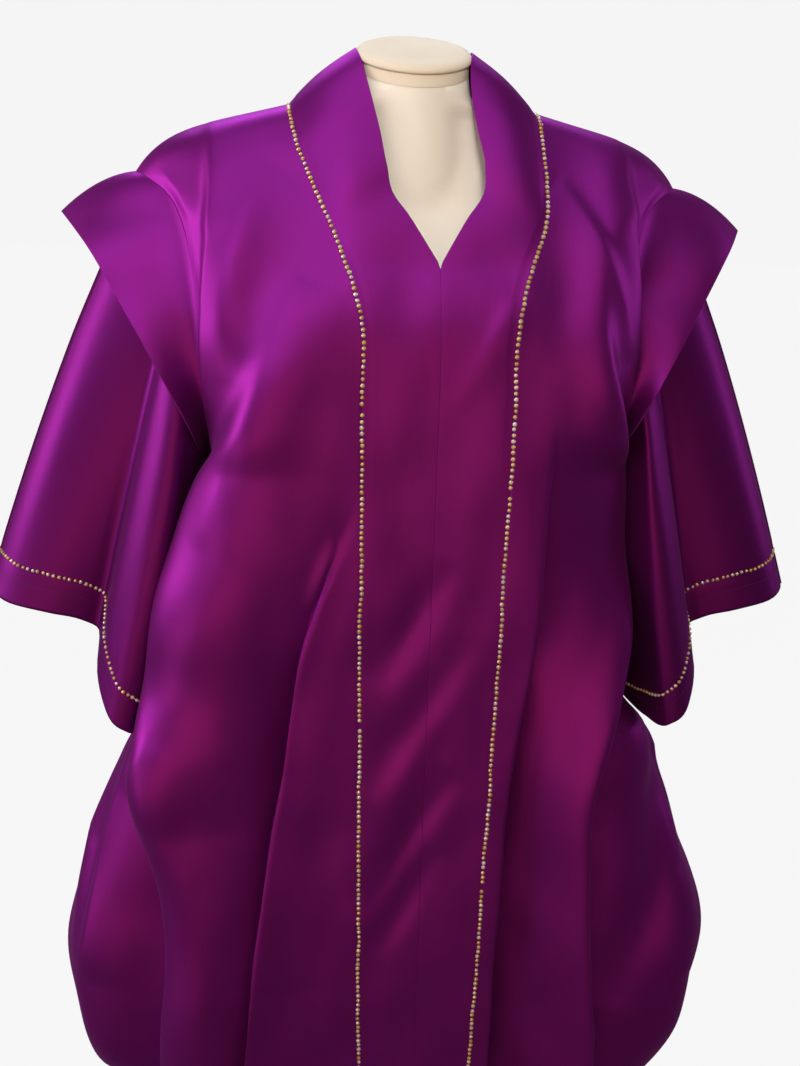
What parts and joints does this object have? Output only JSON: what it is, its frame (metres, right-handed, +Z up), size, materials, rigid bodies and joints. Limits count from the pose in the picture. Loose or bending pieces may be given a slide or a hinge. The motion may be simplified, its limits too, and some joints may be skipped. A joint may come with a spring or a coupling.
{
  "type": "grand boubou robe on a dress form",
  "caption": "Long loose satin robe with a deep V neck, front bands, shoulder wings and wide sleeves, worn by a limbless dress form on a stand.",
  "frame": {"origin": "middle of the stand's underside, on the floor", "axes": "+Z up, -Y out of the robe's front, +X to the right of someone who faces the robe"},
  "size_m": [0.848, 0.3191, 1.5109],
  "materials": {
    "robe_satin": "heavy purple satin with a soft sheen",
    "form_plastic": "cream, smooth, matt",
    "stand_steel": "brushed steel"
  },
  "bodies": {
    "root": {"front_left": "robe_satin", "front_right": "robe_satin", "back": "robe_satin", "band_left": "robe_satin", "band_right": "robe_satin", "sleeve_left": "robe_satin", "sleeve_right": "robe_satin", "cuff_left": "robe_satin", "cuff_right": "robe_satin", "wing_left": "robe_satin", "wing_right": "robe_satin", "dress_form": "form_plastic", "neck_cap": "form_plastic", "stand_pole": "stand_steel", "stand_base": "stand_steel"}
  },
  "joints": []
}
